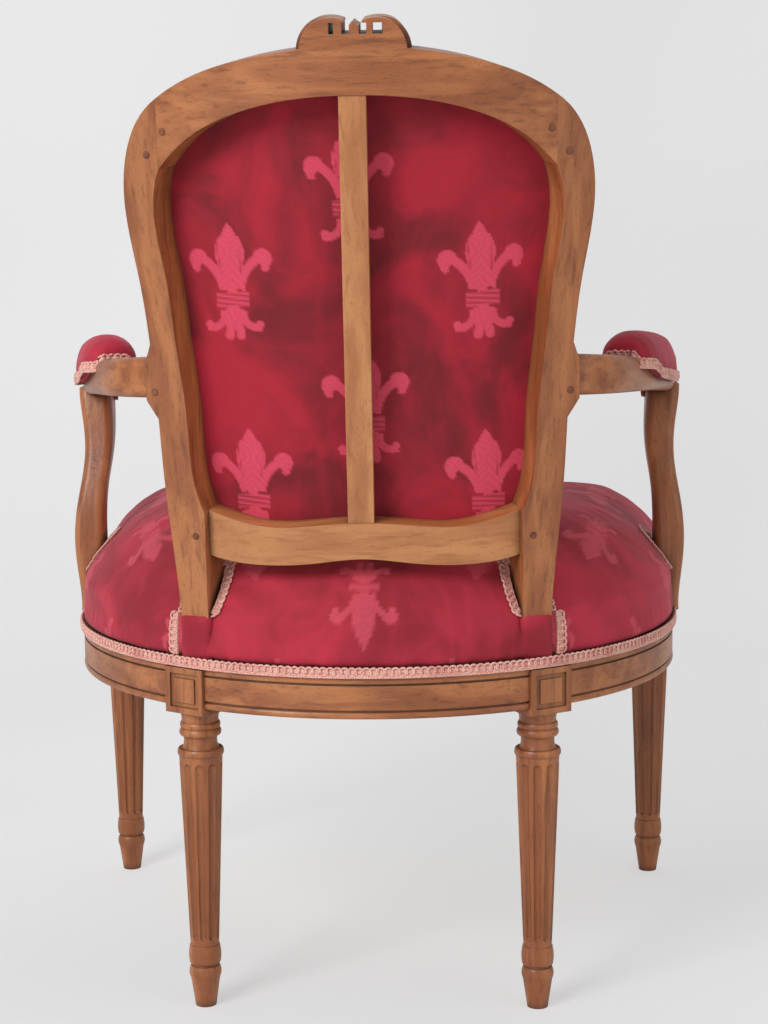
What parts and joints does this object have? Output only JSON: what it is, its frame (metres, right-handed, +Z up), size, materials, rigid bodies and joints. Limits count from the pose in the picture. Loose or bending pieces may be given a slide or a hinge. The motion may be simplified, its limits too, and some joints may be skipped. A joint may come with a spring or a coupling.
{
  "type": "fauteuil",
  "caption": "Open armchair with a curved oval-topped back, fluted turned legs, padded arms and velvet upholstery edged with gimp braid",
  "frame": {"origin": "centre of the bounding box, on the floor", "axes": "+Z up, the front of the chair looks along -Y, +X is the sitter's left"},
  "size_m": [0.628, 0.6001, 0.896],
  "materials": {
    "walnut_frame": "waxed, warm red-brown, worn edges",
    "pale_wood": "plain, lighter than the frame",
    "peg_wood": "dark end grain",
    "crimson_velvet": "cut velvet with raised fleur-de-lys",
    "gimp_braid": "scalloped pink and cream braid",
    "linen_canvas": "plain undyed weave",
    "jute_webbing": "coarse woven straps"
  },
  "bodies": {
    "root": {"arm_gimp_left": "gimp_braid", "arm_gimp_right": "gimp_braid", "arm_left": "walnut_frame", "arm_pad_left": "crimson_velvet", "arm_pad_right": "crimson_velvet", "arm_right": "walnut_frame", "arm_support_left": "walnut_frame", "arm_support_right": "walnut_frame", "back_bottom_rail": "walnut_frame", "back_canvas": "linen_canvas", "back_cover_rear": "crimson_velvet", "back_gimp": "gimp_braid", "back_leg_left": "walnut_frame", "back_leg_right": "walnut_frame", "back_pad": "crimson_velvet", "back_seat_rail": "walnut_frame", "back_strut": "pale_wood", "back_webbing": "jute_webbing", "crest_rail": "walnut_frame", "front_leg_left": "walnut_frame", "front_leg_right": "walnut_frame", "front_seat_rail": "walnut_frame", "joint_pegs": "peg_wood", "seam_gimp_left": "gimp_braid", "seam_gimp_right": "gimp_braid", "seat_canvas": "linen_canvas", "seat_gimp": "gimp_braid", "seat_pad": "crimson_velvet", "seat_webbing": "jute_webbing", "side_seat_rail_left": "walnut_frame", "side_seat_rail_right": "walnut_frame", "stile_foot_gimp_left": "gimp_braid", "stile_foot_gimp_right": "gimp_braid", "support_foot_gimp_left": "gimp_braid", "support_foot_gimp_right": "gimp_braid"}
  },
  "joints": []
}
